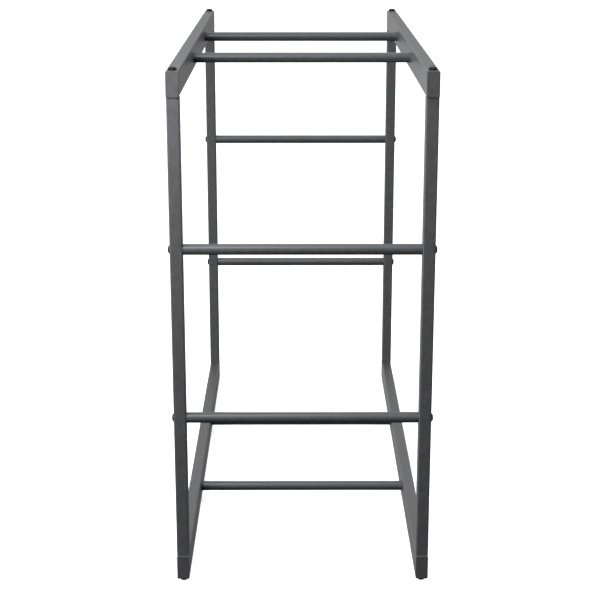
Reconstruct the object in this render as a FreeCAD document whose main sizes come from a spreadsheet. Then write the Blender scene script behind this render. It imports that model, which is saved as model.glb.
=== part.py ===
import FreeCAD, Part
import math
import os

import Sketcher
from FreeCAD import Placement, Rotation, Vector

# Firewood log rack: two side frames of steel tube, joined by eight round rods and bolted at every joint.
#
# X runs across the rack from the left to the right side frame, Y runs along it from front to rear, and
# Z points up. The origin is on the ground, under the middle of the rack. All lengths are in millimetres.

DRIVING_DIMENSIONS = {
    # The whole frame, without the bolt heads that stand out of it.
    "rack_width": 510,
    "rack_length": 1200,
    "frame_height": 1035,
    # Rectangular rails, which run from front to rear, and square corner posts.
    "rail_width": 25,
    "rail_height": 50,
    "post_size": 25,
    "tube_wall": 1.5,
    "tube_corner": 3,
    # Round rods, which run from side to side, and the distance between the two in each row.
    "rod_diameter": 21.3,
    "rod_wall": 1.5,
    "rail_rod_spacing": 400,
    "post_rod_spacing": 345,
    # End caps of the rails.
    "cap_flange": 4,
    "cap_edge_radius": 1.2,
    "cap_skirt_wall": 1.2,
    "cap_skirt_corner": 0.6,
    "cap_bolt_gap": 1.5,
    # Domed bolts with a hexagon socket. A head is flat across its crown and straight around its rim.
    # The rack stands on the "foot" heads, which are the tallest and the flattest.
    "bolt_diameter": 8,
    "head_diameter": 17,
    "side_head_height": 3.8,
    "side_head_rim": 1.2,
    "side_head_crown": 10,
    "top_head_height": 5.5,
    "top_head_rim": 2.5,
    "top_head_crown": 12,
    "foot_head_height": 7,
    "foot_head_rim": 3.5,
    "foot_head_crown": 14.5,
    "socket_width": 5,
    "socket_depth": 2.8,
    "shank_chamfer": 1,
    "thread_reach": 15,
    # Threaded inserts in the rods, threaded plugs in the posts, and what they need round them.
    "insert_length": 18,
    "plug_fit": 0.1,
    "thread_clearance": 0.1,
    "bolt_hole_clearance": 0.4,
}


class Length:
    """A length in millimetres that also knows its formula in the cells of the spreadsheet."""

    def __init__(self, number, formula):
        self.number = number
        self.formula = formula

    def __float__(self):
        return float(self.number)

    def __add__(self, other):
        return Length(float(self) + float(other), f"({self.formula} + {formula_of(other)})")

    def __sub__(self, other):
        return Length(float(self) - float(other), f"({self.formula} - {formula_of(other)})")

    def __mul__(self, factor):
        return Length(float(self) * factor, f"({self.formula} * {factor})")

    def __truediv__(self, divisor):
        return Length(float(self) / divisor, f"({self.formula} / {divisor})")

    def __neg__(self):
        return Length(-float(self), f"(-{self.formula})")


def formula_of(length):
    return length.formula if isinstance(length, Length) else str(length)


def make_sheet(doc):
    """The spreadsheet of driving dimensions, and the same dimensions as lengths, by name."""
    sheet = doc.addObject("Spreadsheet::Sheet", "Dimensions")
    lengths = {}
    for row, (name, number) in enumerate(DRIVING_DIMENSIONS.items(), start=1):
        sheet.set(f"A{row}", name)
        sheet.set(f"B{row}", str(number))
        sheet.setAlias(f"B{row}", name)
        lengths[name] = Length(number, f"Dimensions.{name}")
    return lengths


# ---------------------------------------------------------------- sketches and features


def new_body(doc, name):
    body = doc.addObject("PartDesign::Body", name)
    body.Label = name
    return body


def new_sketch(body, name, plane_role):
    """A sketch on one of the body's own origin planes."""
    sketch = body.newObject("Sketcher::SketchObject", f"{body.Name}_{name}")
    plane = next(plane for plane in body.Origin.OriginFeatures if plane.Role == plane_role)
    sketch.AttachmentSupport = [(plane, "")]
    sketch.MapMode = "FlatFace"
    return sketch


def dimension(sketch, name, length, *constraint):
    """A named constraint that follows its formula."""
    index = sketch.addConstraint(Sketcher.Constraint(*constraint, float(length)))
    sketch.renameConstraint(index, name)
    sketch.setExpression(f"Constraints.{name}", length.formula)


def rounded_rectangle(sketch, name, width, height, corner):
    """A rectangle with round corners, centred on the sketch's origin."""
    half_width, half_height, radius = float(width) / 2, float(height) / 2, float(corner)
    centres = [(1, -1), (1, 1), (-1, 1), (-1, -1)]
    centres = [Vector(x * (half_width - radius), y * (half_height - radius), 0) for x, y in centres]
    outward = [Vector(0, -1, 0), Vector(1, 0, 0), Vector(0, 1, 0), Vector(-1, 0, 0)]
    lines, arcs = [], []
    for side in range(4):
        start = centres[side - 1] + outward[side] * radius
        end = centres[side] + outward[side] * radius
        lines.append(sketch.addGeometry(Part.LineSegment(start, end), False))
        circle = Part.Circle(centres[side], Vector(0, 0, 1), radius)
        angle = math.radians(90 * (side - 1))
        arcs.append(sketch.addGeometry(Part.ArcOfCircle(circle, angle, angle + math.pi / 2), False))
    for side in range(4):
        next_line = lines[(side + 1) % 4]
        sketch.addConstraint(Sketcher.Constraint("Tangent", lines[side], 2, arcs[side], 1))
        sketch.addConstraint(Sketcher.Constraint("Tangent", arcs[side], 2, next_line, 1))
        direction = "Vertical" if side % 2 else "Horizontal"
        sketch.addConstraint(Sketcher.Constraint(direction, lines[side]))
    for arc in arcs[1:]:
        sketch.addConstraint(Sketcher.Constraint("Equal", arcs[0], arc))
    sketch.addConstraint(Sketcher.Constraint("Symmetric", arcs[3], 3, arcs[1], 3, -1, 1))
    dimension(sketch, f"{name}_width", width, "DistanceX", lines[3], 1, lines[1], 1)
    dimension(sketch, f"{name}_height", height, "DistanceY", lines[0], 1, lines[2], 1)
    dimension(sketch, f"{name}_corner", corner, "Radius", arcs[0])


def centred_circle(sketch, name, diameter):
    circle = Part.Circle(Vector(0, 0, 0), Vector(0, 0, 1), float(diameter) / 2)
    index = sketch.addGeometry(circle, False)
    sketch.addConstraint(Sketcher.Constraint("Coincident", index, 3, -1, 1))
    dimension(sketch, f"{name}_diameter", diameter, "Diameter", index)
    return index


def hole_pair(sketch, spacing, diameter, direction):
    """Two equal circles, one each side of the origin, apart along the sketch's X or Y direction."""
    offset = Vector(float(spacing) / 2, 0, 0) if direction == "X" else Vector(0, float(spacing) / 2, 0)
    holes = []
    for centre in (offset * -1, offset):
        circle = Part.Circle(centre, Vector(0, 0, 1), float(diameter) / 2)
        holes.append(sketch.addGeometry(circle, False))
    axis = -1 if direction == "X" else -2
    sketch.addConstraint(Sketcher.Constraint("Symmetric", holes[0], 3, holes[1], 3, -1, 1))
    sketch.addConstraint(Sketcher.Constraint("PointOnObject", holes[1], 3, axis))
    sketch.addConstraint(Sketcher.Constraint("Equal", holes[0], holes[1]))
    dimension(sketch, "spacing", spacing, f"Distance{direction}", holes[0], 3, holes[1], 3)
    dimension(sketch, "diameter", diameter, "Diameter", holes[0])


def pad(body, sketch, length, side="One side", reverse=False):
    feature = body.newObject("PartDesign::Pad", f"{sketch.Name}_pad")
    feature.Profile = sketch
    feature.SideType = side
    feature.Reversed = reverse
    feature.setExpression("Length", length.formula)
    sketch.Visibility = False
    return feature


def drill_through(body, sketch):
    """Cuts the sketch's circles out of the whole body, on both sides of the sketch."""
    feature = body.newObject("PartDesign::Pocket", f"{sketch.Name}_pocket")
    feature.Profile = sketch
    feature.SideType = "Symmetric"
    feature.Type = "ThroughAll"
    sketch.Visibility = False
    return feature


def place(piece, x, y, z, rotation=Rotation()):
    """Turns a piece, then binds its position to the formulas of its three coordinates."""
    piece.Placement = Placement(Vector(float(x), float(y), float(z)), rotation)
    for axis, coordinate in zip("xyz", (x, y, z)):
        if isinstance(coordinate, Length):
            piece.setExpression(f"Placement.Base.{axis}", coordinate.formula)


# ---------------------------------------------------------------- the pieces


def make_tube(doc, name, plane_role, width, height, size, length):
    """A tube of rounded rectangular section, centred on its body's origin."""
    wall, corner = size["tube_wall"], size["tube_corner"]
    body = new_body(doc, name)
    section = new_sketch(body, "section", plane_role)
    rounded_rectangle(section, "outside", width, height, corner)
    rounded_rectangle(section, "inside", width - wall * 2, height - wall * 2, corner - wall)
    pad(body, section, length, "Symmetric")
    return body


def drill_pair(body, name, plane_role, spacing, diameter, direction):
    sketch = new_sketch(body, name, plane_role)
    hole_pair(sketch, spacing, diameter, direction)
    drill_through(body, sketch)


def make_rail(doc, name, size, place_of):
    """A rail lies along Y. Rod bolts cross it from side to side and corner bolts from top to bottom."""
    length = place_of["rail_length"]
    body = make_tube(doc, name, "XZ_Plane", size["rail_width"], size["rail_height"], size, length)
    hole = place_of["bolt_hole"]
    drill_pair(body, "rod_holes", "YZ_Plane", size["rail_rod_spacing"], hole, "X")
    drill_pair(body, "corner_holes", "XY_Plane", length - size["post_size"], hole, "Y")
    return body


def make_post(doc, name, size, place_of):
    """A post stands between two rails. Rod bolts cross it from side to side."""
    post = size["post_size"]
    body = make_tube(doc, name, "XY_Plane", post, post, size, place_of["post_length"])
    drill_pair(body, "rod_holes", "YZ_Plane", size["post_rod_spacing"], place_of["bolt_hole"], "Y")
    return body


def make_rod(doc, name, size, length):
    """A round tube along X, centred on its body's origin."""
    body = new_body(doc, name)
    section = new_sketch(body, "section", "YZ_Plane")
    centred_circle(section, "outside", size["rod_diameter"])
    centred_circle(section, "inside", size["rod_diameter"] - size["rod_wall"] * 2)
    pad(body, section, length, "Symmetric")
    return body


def make_cap(doc, name, size, place_of):
    """An end cap: a flange over the rail's end, towards -Y, and a hollow skirt inside it."""
    width, height = size["rail_width"], size["rail_height"]
    inset = size["tube_wall"] + size["plug_fit"]
    skirt_wall = size["cap_skirt_wall"]
    body = new_body(doc, name)
    face = new_sketch(body, "face", "XZ_Plane")
    rounded_rectangle(face, "face", width, height, size["tube_corner"])
    flange = pad(body, face, size["cap_flange"])
    doc.recompute()
    front_face = lowest_face(flange, "y")
    edge = body.newObject("PartDesign::Fillet", f"{name}_edge")
    edge.Base = (flange, [front_face])
    edge.setExpression("Radius", size["cap_edge_radius"].formula)
    skirt = new_sketch(body, "skirt", "XZ_Plane")
    outside = (width - inset * 2, height - inset * 2, size["tube_corner"] - inset)
    rounded_rectangle(skirt, "outside", *outside)
    inside = (outside[0] - skirt_wall * 2, outside[1] - skirt_wall * 2, size["cap_skirt_corner"])
    rounded_rectangle(skirt, "inside", *inside)
    pad(body, skirt, place_of["skirt_length"], reverse=True)
    return body


def lowest_face(feature, axis):
    """The name of the feature's face whose centre is lowest along the axis."""
    faces = feature.Shape.Faces
    index = min(range(len(faces)), key=lambda i: getattr(faces[i].CenterOfMass, axis))
    return f"Face{index + 1}"


def make_bolt(doc, name, size, grip, head):
    """A domed bolt with a "side", "top" or "foot" head. The head stands on z = 0, and the shank
    hangs below it, through grip, into a thread."""
    body = new_body(doc, name)
    outline = new_sketch(body, "outline", "XZ_Plane")
    bolt_outline(outline, size, head, grip + size["thread_reach"])
    turned = body.newObject("PartDesign::Revolution", f"{name}_turned")
    turned.Profile = outline
    turned.ReferenceAxis = (outline, ["V_Axis"])
    turned.Angle = 360
    outline.Visibility = False
    socket = new_sketch(body, "socket", "XY_Plane")
    socket.setExpression("AttachmentOffset.Base.z", size[f"{head}_head_height"].formula)
    hexagon(socket, size["socket_width"])
    pocket = body.newObject("PartDesign::Pocket", f"{name}_socket_pocket")
    pocket.Profile = socket
    pocket.setExpression("Length", size["socket_depth"].formula)
    socket.Visibility = False
    return body


def bolt_outline(sketch, size, head, shank_length):
    """Half of the bolt's lengthwise section: flat crown, dome, straight rim, seat and shank."""
    seat, shank, chamfer = size["head_diameter"] / 2, size["bolt_diameter"] / 2, size["shank_chamfer"]
    height, rim = size[f"{head}_head_height"], size[f"{head}_head_rim"]
    crown = size[f"{head}_head_crown"] / 2
    corners = [
        (0, height),
        (crown, height),
        (seat, rim),
        (seat, 0),
        (shank, 0),
        (shank, chamfer - shank_length),
        (shank - chamfer, -shank_length),
        (0, -shank_length),
    ]
    dome = 1
    pieces = []
    for index, start in enumerate(corners):
        end = corners[(index + 1) % len(corners)]
        shape = dome_arc(start, end) if index == dome else straight(start, end)
        pieces.append(sketch.addGeometry(shape, False))
    sketch.addConstraint(Sketcher.Constraint("PointOnObject", pieces[dome], 3, -2))
    for index, (x, y) in enumerate(corners):
        # The dome's arc runs the other way round the outline, so its two ends change places.
        end_of_last = 1 if index - 1 == dome else 2
        start_of_this = 2 if index == dome else 1
        ends = (pieces[index - 1], end_of_last, pieces[index], start_of_this)
        sketch.addConstraint(Sketcher.Constraint("Coincident", *ends))
        fix_coordinate(sketch, f"corner_{index}_x", "X", pieces[index], start_of_this, x)
        fix_coordinate(sketch, f"corner_{index}_y", "Y", pieces[index], start_of_this, y)


def straight(start, end):
    return Part.LineSegment(*(Vector(float(x), float(y), 0) for x, y in (start, end)))


def dome_arc(top, rim):
    """The arc, centred on the bolt's axis, that joins the crown's edge to the rim."""
    (top_x, top_y), (rim_x, rim_y) = [(float(x), float(y)) for x, y in (top, rim)]
    centre_y = (rim_x**2 + rim_y**2 - top_x**2 - top_y**2) / (2 * (rim_y - top_y))
    circle = Part.Circle(Vector(0, centre_y, 0), Vector(0, 0, 1), math.hypot(rim_x, rim_y - centre_y))
    angles = [math.atan2(y - centre_y, x) for x, y in ((rim_x, rim_y), (top_x, top_y))]
    return Part.ArcOfCircle(circle, *angles)


def fix_coordinate(sketch, name, axis, piece, point, coordinate):
    """Ties one coordinate of a point to the sketch's origin."""
    if float(coordinate) == 0:
        line = -2 if axis == "X" else -1
        sketch.addConstraint(Sketcher.Constraint("PointOnObject", piece, point, line))
    elif float(coordinate) > 0:
        dimension(sketch, name, coordinate, f"Distance{axis}", -1, 1, piece, point)
    else:
        dimension(sketch, name, -coordinate, f"Distance{axis}", piece, point, -1, 1)


def hexagon(sketch, width):
    """A regular hexagon of the given width across its flats, drawn round a construction circle."""
    circle = centred_circle(sketch, "flats", width)
    sketch.toggleConstruction(circle)
    radius = float(width) / 2 / math.cos(math.radians(30))
    turns = [math.radians(60 * corner) for corner in range(6)]
    corners = [Vector(radius * math.cos(turn), radius * math.sin(turn), 0) for turn in turns]
    lines = []
    for start, end in zip(corners, corners[1:] + corners[:1]):
        lines.append(sketch.addGeometry(Part.LineSegment(start, end), False))
    for index, line in enumerate(lines):
        sketch.addConstraint(Sketcher.Constraint("Coincident", lines[index - 1], 2, line, 1))
        sketch.addConstraint(Sketcher.Constraint("Tangent", line, circle))
    for line in lines[1:]:
        sketch.addConstraint(Sketcher.Constraint("Equal", lines[0], line))
    sketch.addConstraint(Sketcher.Constraint("Horizontal", lines[1]))


def make_rod_insert(doc, name, size):
    """A round threaded insert, along +X from the rod's end."""
    body = new_body(doc, name)
    section = new_sketch(body, "section", "YZ_Plane")
    inset = size["rod_wall"] + size["plug_fit"]
    centred_circle(section, "outside", size["rod_diameter"] - inset * 2)
    centred_circle(section, "thread", size["bolt_diameter"] + size["thread_clearance"] * 2)
    pad(body, section, size["insert_length"])
    return body


def make_post_plug(doc, name, size):
    """A square threaded plug, along +Z from the post's lower end."""
    body = new_body(doc, name)
    section = new_sketch(body, "section", "XY_Plane")
    inset = size["tube_wall"] + size["plug_fit"]
    width = size["post_size"] - inset * 2
    rounded_rectangle(section, "outside", width, width, size["tube_corner"] - inset)
    centred_circle(section, "thread", size["bolt_diameter"] + size["thread_clearance"] * 2)
    pad(body, section, size["insert_length"])
    return body


def make_group(doc, name, copies):
    """One sub-part made of separate solids: each copy is (body, x, y, z, rotation)."""
    links = []
    for number, (body, x, y, z, rotation) in enumerate(copies, start=1):
        link = doc.addObject("App::Link", f"{name}_{number}")
        link.LinkedObject = body
        place(link, x, y, z, rotation)
        links.append(link)
    group = doc.addObject("Part::Compound", name)
    group.Label = name
    group.Links = links
    return group


# ---------------------------------------------------------------- the rack

SIDES = {"left": -1, "right": 1}
ENDS = {"front": -1, "rear": 1}
LEVELS = {"bottom": -1, "top": 1}
TURN_TO_REAR = Rotation(Vector(0, 0, 1), 180)
TURN_UPSIDE_DOWN = Rotation(Vector(1, 0, 0), 180)


def work_out_places(size):
    """Lengths and positions that follow from the driving dimensions."""
    rail_length = size["rack_length"] - size["cap_flange"] * 2
    bolt_hole = size["bolt_diameter"] + size["bolt_hole_clearance"]
    middle_height = size["foot_head_height"] + size["frame_height"] / 2
    return {
        "rail_length": rail_length,
        "post_length": size["frame_height"] - size["rail_height"] * 2,
        "bolt_hole": bolt_hole,
        # The skirt stops in front of the corner bolt.
        "skirt_length": (size["post_size"] - bolt_hole) / 2 - size["cap_bolt_gap"],
        # Middle planes of the side frames and of the posts.
        "side_x": (size["rack_width"] - size["rail_width"]) / 2,
        "post_y": (rail_length - size["post_size"]) / 2,
        "rail_end_y": rail_length / 2,
        # The rack stands on the heads of its lower corner bolts.
        "middle_z": middle_height,
        "rail_z": (size["frame_height"] - size["rail_height"]) / 2,
        "post_rod_length": size["rack_width"] - size["rail_width"] - size["post_size"],
        "rail_rod_length": size["rack_width"] - size["rail_width"] * 2,
    }


def signed(length, sign):
    return length if sign > 0 else -length


def rod_positions(size, place_of):
    """Each rod's name, its tube ("post" or "rail"), and its y and z."""
    middle_z, rail_z, post_y = place_of["middle_z"], place_of["rail_z"], place_of["post_y"]
    along_rail = size["rail_rod_spacing"] / 2
    up_post = size["post_rod_spacing"] / 2
    rods = []
    for end, end_sign in ENDS.items():
        y = signed(post_y, end_sign)
        rods.append((f"{end}_lower_rod", "post", y, middle_z - up_post))
        rods.append((f"{end}_upper_rod", "post", y, middle_z + up_post))
    for level, level_sign in LEVELS.items():
        z = middle_z + signed(rail_z, level_sign)
        for end, end_sign in ENDS.items():
            rods.append((f"{level}_{end}_rod", "rail", signed(along_rail, end_sign), z))
    return rods


def build_side_frames(doc, size, place_of):
    """Rails, caps and posts of the left and right side frames."""
    pieces = []
    middle_z, rail_end_y = place_of["middle_z"], place_of["rail_end_y"]
    for side, side_sign in SIDES.items():
        x = signed(place_of["side_x"], side_sign)
        for level, level_sign in LEVELS.items():
            z = middle_z + signed(place_of["rail_z"], level_sign)
            rail = make_rail(doc, f"{side}_{level}_rail", size, place_of)
            place(rail, x, 0, z)
            pieces.append(rail)
            for end, end_sign in ENDS.items():
                cap = make_cap(doc, f"{side}_{level}_{end}_cap", size, place_of)
                turn = TURN_TO_REAR if end == "rear" else Rotation()
                place(cap, x, signed(rail_end_y, end_sign), z, turn)
                pieces.append(cap)
        for end, end_sign in ENDS.items():
            post = make_post(doc, f"{side}_{end}_post", size, place_of)
            place(post, x, signed(place_of["post_y"], end_sign), middle_z)
            pieces.append(post)
    return pieces


def build_rods(doc, size, place_of):
    """The eight rods, and the threaded inserts in their ends."""
    insert = make_rod_insert(doc, "rod_insert", size)
    pieces = []
    copies = {side: [] for side in SIDES}
    for name, tube, y, z in rod_positions(size, place_of):
        length = place_of[f"{tube}_rod_length"]
        rod = make_rod(doc, name, size, length)
        place(rod, 0, y, z)
        pieces.append(rod)
        for side, side_sign in SIDES.items():
            turn = Rotation() if side == "left" else TURN_TO_REAR
            copies[side].append((insert, signed(length / 2, side_sign), y, z, turn))
    for side in SIDES:
        pieces.append(make_group(doc, f"{side}_rod_inserts", copies[side]))
    return pieces


def build_rod_bolts(doc, size, place_of):
    """Side bolts, which pass through a post or a rail into the end of a rod."""
    tube_width = {"post": size["post_size"], "rail": size["rail_width"]}
    bolts = {
        tube: make_bolt(doc, f"{tube}_rod_bolt", size, grip, "side") for tube, grip in tube_width.items()
    }
    pieces = []
    for side, side_sign in SIDES.items():
        turn = Rotation(Vector(0, 1, 0), 90 * side_sign)
        copies = []
        for _, tube, y, z in rod_positions(size, place_of):
            x = signed(place_of["side_x"] + tube_width[tube] / 2, side_sign)
            copies.append((bolts[tube], x, y, z, turn))
        pieces.append(make_group(doc, f"{side}_rod_bolts", copies))
    return pieces


def build_corner_joints(doc, size, place_of):
    """Upright bolts, which pass through a rail into a post, and the threaded plugs in the posts."""
    plug = make_post_plug(doc, "post_plug", size)
    pieces = []
    for level, level_sign in LEVELS.items():
        head = "top" if level == "top" else "foot"
        bolt = make_bolt(doc, f"{head}_bolt", size, size["rail_height"], head)
        bolt_z = place_of["middle_z"] + signed(size["frame_height"] / 2, level_sign)
        plug_z = place_of["middle_z"] + signed(place_of["post_length"] / 2, level_sign)
        bolt_turn = Rotation() if level == "top" else TURN_UPSIDE_DOWN
        plug_turn = TURN_UPSIDE_DOWN if level == "top" else Rotation()
        bolt_copies, plug_copies = [], []
        for side_sign in SIDES.values():
            for end_sign in ENDS.values():
                x = signed(place_of["side_x"], side_sign)
                y = signed(place_of["post_y"], end_sign)
                bolt_copies.append((bolt, x, y, bolt_z, bolt_turn))
                plug_copies.append((plug, x, y, plug_z, plug_turn))
        pieces.append(make_group(doc, f"{level}_corner_bolts", bolt_copies))
        pieces.append(make_group(doc, f"{level}_post_plugs", plug_copies))
    return pieces


def check(doc, pieces):
    """Stops the build at any failed object or unusable shape."""
    for item in doc.Objects:
        if {"Invalid", "Error"} & set(item.State):
            raise RuntimeError(f"{item.Label} failed: {item.State}")
    for piece in pieces:
        if piece.Shape.isNull() or not piece.Shape.isValid():
            raise RuntimeError(f"{piece.Label} has no valid shape")


def main():
    doc = FreeCAD.newDocument("LogRack")
    size = make_sheet(doc)
    doc.recompute()
    place_of = work_out_places(size)
    pieces = []
    for build in (build_side_frames, build_rods, build_rod_bolts, build_corner_joints):
        pieces += build(doc, size, place_of)
    doc.recompute()
    check(doc, pieces)
    os.makedirs("parts", exist_ok=True)
    for piece in pieces:
        piece.Shape.exportStep(f"parts/{piece.Label}.step")
        print(f"{piece.Label}: {len(piece.Shape.Solids)} solid(s), {piece.Shape.Volume:.0f} mm3")


main()
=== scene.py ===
"""Firewood log rack: materials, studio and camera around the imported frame. Lengths are in metres."""

import math

import bpy
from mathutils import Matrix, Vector


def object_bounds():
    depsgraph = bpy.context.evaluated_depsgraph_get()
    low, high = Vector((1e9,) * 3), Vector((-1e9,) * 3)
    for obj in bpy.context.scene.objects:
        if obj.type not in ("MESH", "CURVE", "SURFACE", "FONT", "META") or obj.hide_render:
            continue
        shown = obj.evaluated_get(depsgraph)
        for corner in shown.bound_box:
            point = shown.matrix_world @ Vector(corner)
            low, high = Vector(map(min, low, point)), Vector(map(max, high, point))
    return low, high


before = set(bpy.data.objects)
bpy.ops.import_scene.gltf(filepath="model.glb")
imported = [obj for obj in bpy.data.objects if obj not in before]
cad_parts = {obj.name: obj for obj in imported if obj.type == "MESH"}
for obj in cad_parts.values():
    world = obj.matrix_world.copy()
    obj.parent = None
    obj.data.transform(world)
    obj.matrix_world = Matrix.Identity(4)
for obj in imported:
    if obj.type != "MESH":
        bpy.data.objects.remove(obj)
cad_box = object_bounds()

SIDES = ("left", "right")
ENDS = ("front", "rear")
LEVELS = ("bottom", "top")
RAILS = [f"{side}_{level}_rail" for side in SIDES for level in LEVELS]
POSTS = [f"{side}_{end}_post" for side in SIDES for end in ENDS]
CAPS = [f"{side}_{level}_{end}_cap" for side in SIDES for level in LEVELS for end in ENDS]
RODS = [f"{end}_{height}_rod" for end in ENDS for height in ("lower", "upper")]
RODS += [f"{level}_{end}_rod" for level in LEVELS for end in ENDS]
BOLTS = [f"{side}_rod_bolts" for side in SIDES] + [f"{level}_corner_bolts" for level in LEVELS]
INSERTS = [f"{side}_rod_inserts" for side in SIDES] + [f"{level}_post_plugs" for level in LEVELS]


# ---------------------------------------------------------------- materials


# The shader's sockets, by the names used here.
SHADER_SOCKETS = {
    "colour": "Base Color",
    "roughness": "Roughness",
    "metallic": "Metallic",
    "ior": "IOR",
    "normal": "Normal",
    "glow_colour": "Emission Color",
    "glow_strength": "Emission Strength",
}


class Nodes:
    """A node tree, with one method for each kind of node that the materials and the studio use."""

    def __init__(self, tree):
        self.tree = tree

    def link(self, value, socket):
        """Connects a node's output, or sets a plain number or colour."""
        if isinstance(value, bpy.types.NodeSocket):
            self.tree.links.new(value, socket)
        else:
            socket.default_value = value

    def coordinates(self, kind):
        return self.tree.nodes.new("ShaderNodeTexCoord").outputs[kind]

    def split(self, vector):
        """The X, Y and Z of a vector."""
        node = self.tree.nodes.new("ShaderNodeSeparateXYZ")
        self.tree.links.new(vector, node.inputs["Vector"])
        return node.outputs

    def noise(self, scale, detail=2.0, roughness=0.5):
        """Noise over the object's own coordinates, in features per metre."""
        node = self.tree.nodes.new("ShaderNodeTexNoise")
        node.inputs["Scale"].default_value = scale
        node.inputs["Detail"].default_value = detail
        node.inputs["Roughness"].default_value = roughness
        self.tree.links.new(self.coordinates("Object"), node.inputs["Vector"])
        return node.outputs["Fac"]

    def cells(self, scale):
        """Distance to the nearest of scattered points, in cells per metre."""
        node = self.tree.nodes.new("ShaderNodeTexVoronoi")
        node.inputs["Scale"].default_value = scale
        self.tree.links.new(self.coordinates("Object"), node.inputs["Vector"])
        return node.outputs["Distance"]

    def rescale(self, value, low, high, to_low=0.0, to_high=1.0):
        """Takes the range from low to high onto the range from to_low to to_high, with soft ends."""
        node = self.tree.nodes.new("ShaderNodeMapRange")
        node.interpolation_type = "SMOOTHSTEP"
        for name, number in zip(("From Min", "From Max", "To Min", "To Max"), (low, high, to_low, to_high)):
            node.inputs[name].default_value = number
        self.tree.links.new(value, node.inputs["Value"])
        return node.outputs["Result"]

    def math(self, operation, first, second=0.0):
        node = self.tree.nodes.new("ShaderNodeMath")
        node.operation = operation
        self.link(first, node.inputs[0])
        self.link(second, node.inputs[1])
        return node.outputs["Value"]

    def mix_colour(self, factor, first, second):
        node = self.tree.nodes.new("ShaderNodeMix")
        node.data_type = "RGBA"
        self.link(factor, node.inputs["Factor"])
        for socket, colour in ((node.inputs["A"], first), (node.inputs["B"], second)):
            self.link(colour, socket)
        return node.outputs["Result"]

    def bump(self, height, distance, strength=1.0, under=None):
        node = self.tree.nodes.new("ShaderNodeBump")
        node.inputs["Strength"].default_value = strength
        node.inputs["Distance"].default_value = distance
        self.tree.links.new(height, node.inputs["Height"])
        if under is not None:
            self.tree.links.new(under, node.inputs["Normal"])
        return node.outputs["Normal"]

    def turned_corner(self):
        """1 on the rounded edges between flat faces, 0 on the faces themselves."""
        geometry = self.tree.nodes.new("ShaderNodeNewGeometry")
        absolute = self.tree.nodes.new("ShaderNodeVectorMath")
        absolute.operation = "ABSOLUTE"
        self.tree.links.new(geometry.outputs["Normal"], absolute.inputs[0])
        parts = self.split(absolute.outputs["Vector"])
        widest = self.math("MAXIMUM", parts["X"], parts["Y"])
        widest = self.math("MAXIMUM", widest, parts["Z"])
        return self.rescale(widest, 0.99, 0.80)


class Surface(Nodes):
    """A new material, its node tree and its shader."""

    def __init__(self, name):
        self.material = bpy.data.materials.new(name)
        self.material.use_nodes = True
        super().__init__(self.material.node_tree)
        self.shader = self.tree.nodes["Principled BSDF"]

    def shade(self, **inputs):
        for name, value in inputs.items():
            self.link(value, self.shader.inputs[SHADER_SOCKETS[name]])


def grey(value, tint=(0.97, 1.0, 1.08)):
    """A nearly neutral colour, slightly cool."""
    return tuple(value * share for share in tint) + (1.0,)


def powder_coat(name, shade, roughness, peel_height):
    """Satin powder coat: fine speckle, faint mottling, orange peel, and rounded edges painted paler: a
    painted highlight, partly also the thinner coat there.
    """
    nodes = Surface(name)
    mottle = nodes.noise(95.0, detail=3.0, roughness=0.6)
    speckle = nodes.noise(2600.0, detail=1.0)
    tone = nodes.math("ADD", nodes.math("MULTIPLY", mottle, 0.6), nodes.math("MULTIPLY", speckle, 0.4))
    colour = nodes.mix_colour(nodes.rescale(tone, 0.35, 0.65), grey(shade * 0.86), grey(shade * 1.14))
    # Painted highlight: rounded edges are mixed toward a much paler grey, partly standing for the thinner
    # coat on edges.
    painted_edge_highlight = nodes.math("MULTIPLY", nodes.turned_corner(), 0.25)
    colour = nodes.mix_colour(painted_edge_highlight, colour, grey(shade * 2.2))
    gloss = nodes.rescale(mottle, 0.3, 0.7, roughness - 0.03, roughness + 0.03)
    grain = nodes.bump(nodes.noise(3200.0, detail=1.0), distance=peel_height * 0.25, strength=0.6)
    peel = nodes.noise(620.0, detail=2.0, roughness=0.45)
    surface = nodes.bump(peel, distance=peel_height, under=grain)
    nodes.shade(colour=colour, roughness=gloss, normal=surface)
    return nodes.material


def moulded_plastic(name, shade):
    """End caps: matt moulded plastic with a fine spark-eroded grain."""
    nodes = Surface(name)
    flow = nodes.noise(60.0, detail=3.0)
    colour = nodes.mix_colour(nodes.rescale(flow, 0.3, 0.7), grey(shade * 0.90), grey(shade * 1.10))
    grain = nodes.cells(1900.0)
    gloss = nodes.rescale(grain, 0.0, 0.7, 0.44, 0.56)
    surface = nodes.bump(grain, distance=0.00002, strength=0.7)
    nodes.shade(colour=colour, roughness=gloss, normal=surface)
    return nodes.material


def black_steel(name, shade):
    """Bolts: black oxide steel, slightly smudged, with a low sheen."""
    nodes = Surface(name)
    smudge = nodes.noise(260.0, detail=4.0, roughness=0.6)
    colour = nodes.mix_colour(nodes.rescale(smudge, 0.35, 0.7), grey(shade * 0.8), grey(shade * 1.3))
    gloss = nodes.rescale(smudge, 0.3, 0.7, 0.34, 0.46)
    surface = nodes.bump(nodes.noise(1500.0), distance=0.00001, strength=0.6)
    nodes.shade(colour=colour, roughness=gloss, normal=surface, ior=1.28)
    return nodes.material


def plated_steel(name):
    """Threaded inserts and plugs: bright zinc plate, slightly mottled."""
    nodes = Surface(name)
    mottle = nodes.noise(420.0, detail=3.0)
    colour = nodes.mix_colour(mottle, (0.50, 0.50, 0.47, 1.0), (0.68, 0.69, 0.70, 1.0))
    gloss = nodes.rescale(mottle, 0.3, 0.7, 0.24, 0.42)
    surface = nodes.bump(nodes.noise(2200.0), distance=0.00002, strength=0.5)
    nodes.shade(colour=colour, roughness=gloss, normal=surface, metallic=1.0)
    return nodes.material


def dress(names, material):
    for name in names:
        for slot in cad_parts[name].material_slots:
            slot.material = material


# ---------------------------------------------------------------- studio


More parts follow.
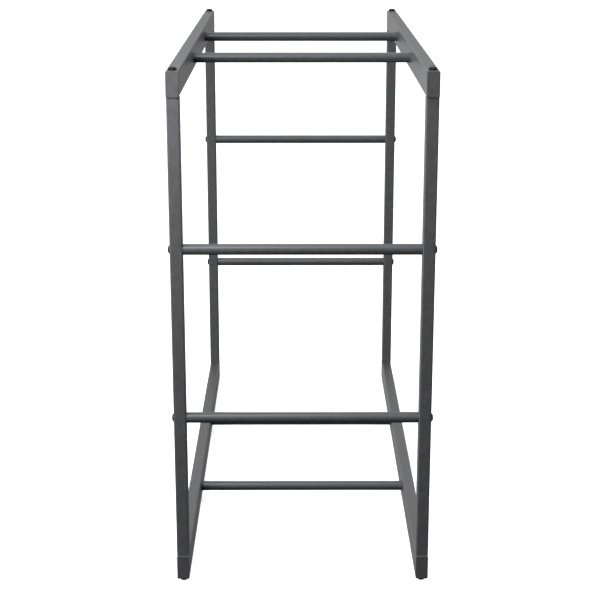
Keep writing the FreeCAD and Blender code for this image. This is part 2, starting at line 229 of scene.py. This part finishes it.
def make_floor():
    """A plain pale floor. It isn't seen in reflections, so the undersides of the rack stay dark."""
    bpy.ops.mesh.primitive_plane_add(size=60.0)
    floor = bpy.context.object
    floor.name = "floor"
    nodes = Surface("pale_floor")
    pale = (0.9, 0.9, 0.9, 1.0)
    nodes.shade(colour=pale, roughness=0.9, glow_colour=pale, glow_strength=0.62)
    floor.data.materials.append(nodes.material)
    floor.visible_diffuse = False
    floor.visible_glossy = False


# How bright the studio is in each direction: (height, side, end, strength). All others are dark.
STUDIO_ZONES = (
    ("middle", "left", "front", 1.50),
    ("middle", "left", "rear", 0.88),
    ("middle", "right", "rear", 0.46),
    ("upper", "left", "front", 2.40),
    ("upper", "left", "rear", 0.50),
    ("upper", "right", "rear", 2.00),
)


def studio_strength(nodes):
    """Adds up the zones of the studio. Each one fades softly into the next, and into the dark below."""
    direction = nodes.split(nodes.coordinates("Generated"))
    above = {
        "front": nodes.rescale(direction["Z"], -0.35, -0.05),
        "rear": nodes.rescale(direction["Z"], -0.75, -0.15),
    }
    shares = {
        "left": nodes.rescale(direction["X"], 0.35, -0.35),
        "right": nodes.rescale(direction["X"], -0.35, 0.35),
        "front": nodes.rescale(direction["Y"], 0.4, -0.4),
        "rear": nodes.rescale(direction["Y"], -0.4, 0.4),
        "middle": nodes.rescale(direction["Z"], 0.8, 0.25),
        "upper": nodes.rescale(direction["Z"], 0.25, 0.8),
    }
    total = 0.0
    for height, side, end, strength in STUDIO_ZONES:
        share = nodes.math("MULTIPLY", shares[height], shares[side])
        share = nodes.math("MULTIPLY", share, nodes.math("MULTIPLY", shares[end], above[end]))
        total = nodes.math("ADD", total, nodes.math("MULTIPLY", share, strength))
    return total


def add_background(nodes, strength):
    """A white background of this strength."""
    node = nodes.tree.nodes.new("ShaderNodeBackground")
    node.inputs["Color"].default_value = (1.0, 1.0, 1.0, 1.0)
    nodes.link(strength, node.inputs["Strength"])
    return node.outputs["Background"]


def make_world():
    """Plain white for the camera. As light, a soft studio with bright walls to the left and behind."""
    world = bpy.data.worlds.new("studio")
    bpy.context.scene.world = world
    world.use_nodes = True
    nodes = Nodes(world.node_tree)
    light_path = nodes.tree.nodes.new("ShaderNodeLightPath")
    mix = nodes.tree.nodes.new("ShaderNodeMixShader")
    nodes.link(light_path.outputs["Is Camera Ray"], mix.inputs["Fac"])
    nodes.link(add_background(nodes, studio_strength(nodes)), mix.inputs[1])
    nodes.link(add_background(nodes, 1.0), mix.inputs[2])
    nodes.link(mix.outputs["Shader"], nodes.tree.nodes["World Output"].inputs["Surface"])


def add_softbox(name, place, target, width, height, power, gloss=True):
    """A rectangular light that points at the target. Without gloss, no reflection shows it."""
    data = bpy.data.lights.new(name, "AREA")
    data.shape = "RECTANGLE"
    data.size = width
    data.size_y = height
    data.energy = power
    box = bpy.data.objects.new(name, data)
    bpy.context.scene.collection.objects.link(box)
    box.location = place
    box.rotation_euler = (Vector(target) - Vector(place)).to_track_quat("-Z", "Y").to_euler()
    box.visible_camera = False
    box.visible_glossy = gloss


def make_lights():
    """Soft boxes: most of the light comes from the front left and above, as in the photo."""
    add_softbox("key", (-1.0, -1.3, 1.7), (-0.1, -0.6, 0.6), 0.7, 0.7, 12.5)
    add_softbox("near_key", (-0.42, -1.1, 1.15), (-0.24, -0.6, 0.95), 0.3, 0.3, 4.9, gloss=False)
    add_softbox("front_top", (-0.35, -1.35, 1.85), (-0.15, -0.5, 0.6), 0.8, 0.7, 7.0)
    add_softbox("left_wall", (-2.2, -0.7, 1.3), (0.0, -0.2, 0.6), 1.4, 1.4, 42.0, gloss=False)
    add_softbox("right_wall", (1.7, -0.45, 1.5), (0.25, 0.0, 0.5), 1.0, 1.0, 16.0)


def make_camera():
    """Stands in front of the rack's front end and looks slightly down, along the rack."""
    data = bpy.data.cameras.new("camera")
    data.sensor_width = 36.0
    data.lens = 84.85
    data.shift_y = -0.08
    camera = bpy.data.objects.new("camera", data)
    bpy.context.scene.collection.objects.link(camera)
    front = cad_box[0].y
    camera.location = (-0.0124, front - 2.61, 1.3945)
    pitch_down, turn_right = 14.98, 0.16
    camera.rotation_euler = (math.radians(90 - pitch_down), 0.0, math.radians(-turn_right))
    bpy.context.scene.camera = camera


# ---------------------------------------------------------------- the scene

dress(RAILS + POSTS, powder_coat("frame_powder_coat", shade=0.050, roughness=0.42, peel_height=0.00002))
dress(RODS, powder_coat("rod_powder_coat", shade=0.042, roughness=0.33, peel_height=0.00001))
dress(CAPS, moulded_plastic("cap_plastic", shade=0.043))
dress(BOLTS, black_steel("black_bolt_steel", shade=0.003))
dress(INSERTS, plated_steel("zinc_plate"))

make_floor()
make_world()
make_lights()
make_camera()
bpy.context.scene.view_settings.view_transform = "Standard"
